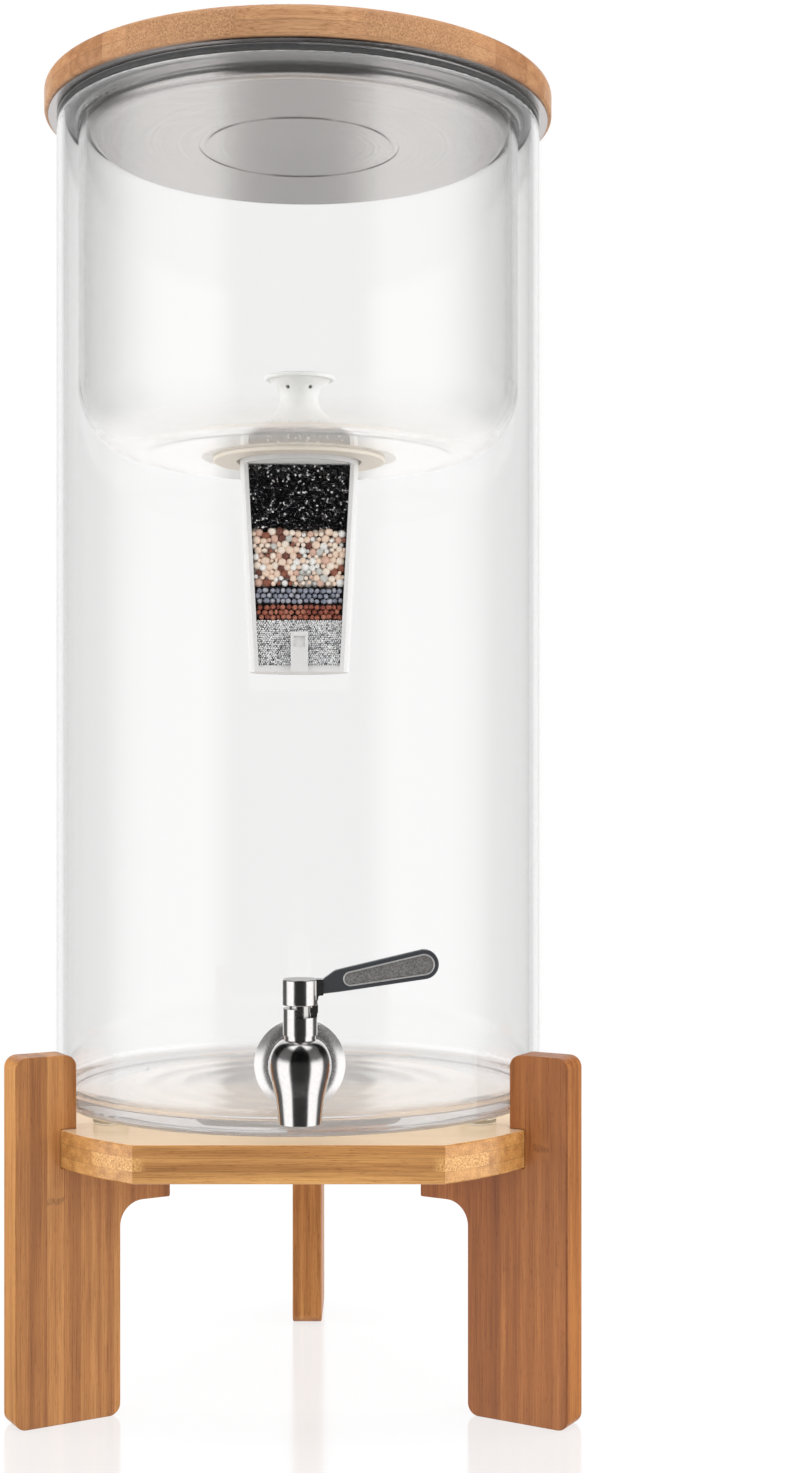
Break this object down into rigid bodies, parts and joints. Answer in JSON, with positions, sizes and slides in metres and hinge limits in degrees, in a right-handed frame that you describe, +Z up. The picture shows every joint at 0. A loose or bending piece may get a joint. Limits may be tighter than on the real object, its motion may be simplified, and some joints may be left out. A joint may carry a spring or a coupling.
{
  "type": "countertop water dispenser",
  "caption": "Tall glass drinking-water dispenser on a three-legged bamboo stand, with a lift-out glass filter bowl and cartridge, a bamboo lid and a quarter-turn lever faucet.",
  "frame": {"origin": "on the surface the object stands on, under the tank's vertical axis", "axes": "+Z up along the tank's axis; -Y is the front, where the faucet points; +X is to the right seen from the front"},
  "size_m": [0.2131, 0.2631, 0.5084],
  "materials": {
    "bamboo_board": "satin lacquered bamboo, layered edge",
    "bamboo_leg": "satin lacquered bamboo, grain along the leg",
    "bamboo_lid": "satin lacquered bamboo strips",
    "zinc_steel": "zinc-plated steel",
    "brass_insert": "plain brass",
    "clear_silicone": "clear silicone",
    "clear_glass": "clear borosilicate glass",
    "polished_steel": "polished stainless steel",
    "pale_silicone": "translucent silicone",
    "gunmetal": "dark gunmetal finish",
    "lever_inlay": "brushed grey metal",
    "cream_silicone": "cream food-grade silicone",
    "white_plastic": "white polypropylene",
    "clear_pane": "clear plastic pane",
    "carbon": "activated carbon granules",
    "mixed_balls": "mineral balls, beige, white and brown",
    "grey_balls": "grey-blue mineral balls",
    "red_balls": "red-brown mineral balls",
    "silver_beads": "fine silver-white resin beads",
    "screen_felt": "white filter felt",
    "brushed_liner": "brushed stainless steel sheet"
  },
  "bodies": {
    "stand": {"stand_board": "bamboo_board", "leg_left": "bamboo_leg", "leg_right": "bamboo_leg", "leg_rear": "bamboo_leg", "leg_screws": "zinc_steel", "leg_inserts": "brass_insert", "rest_pads": "clear_silicone"},
    "tank": {"tank_glass": "clear_glass", "faucet_body": "polished_steel", "faucet_bonnet": "polished_steel", "faucet_flange": "polished_steel", "outer_gasket": "pale_silicone", "inner_gasket": "pale_silicone", "inner_washer": "zinc_steel", "shank_nut": "polished_steel"},
    "lever": {"valve_spindle": "polished_steel", "spindle_seals": "pale_silicone", "lever_hub": "polished_steel", "lever_blade": "gunmetal", "lever_inlays": "lever_inlay", "hub_screw": "zinc_steel"},
    "bowl": {"bowl_glass": "clear_glass", "filter_seal": "cream_silicone"},
    "cartridge": {"cartridge_cup": "white_plastic", "cartridge_cap": "white_plastic", "sight_window": "clear_pane", "media_carbon": "carbon", "media_mixed_balls": "mixed_balls", "media_grey_balls": "grey_balls", "media_red_balls": "red_balls", "media_silver_beads": "silver_beads", "top_screen": "screen_felt", "bottom_screen": "screen_felt"},
    "lid": {"lid_board": "bamboo_lid", "lid_liner": "brushed_liner"}
  },
  "joints": [
    {"name": "tank_lift", "type": "slide", "parent": "stand", "child": "tank", "axis": [0, 0, 1], "range_m": [0, 0.06]},
    {"name": "lever_turn", "type": "hinge", "parent": "tank", "child": "lever", "pos_m": [0, -0.133, 0.168], "axis": [0, 0, 1], "range_deg": [-90, 0]},
    {"name": "bowl_lift", "type": "slide", "parent": "tank", "child": "bowl", "axis": [0, 0, 1], "range_m": [0, 0.22]},
    {"name": "cartridge_lift", "type": "slide", "parent": "bowl", "child": "cartridge", "axis": [0, 0, 1], "range_m": [0, 0.088]},
    {"name": "lid_lift", "type": "slide", "parent": "bowl", "child": "lid", "axis": [0, 0, 1], "range_m": [0, 0.12]}
  ]
}
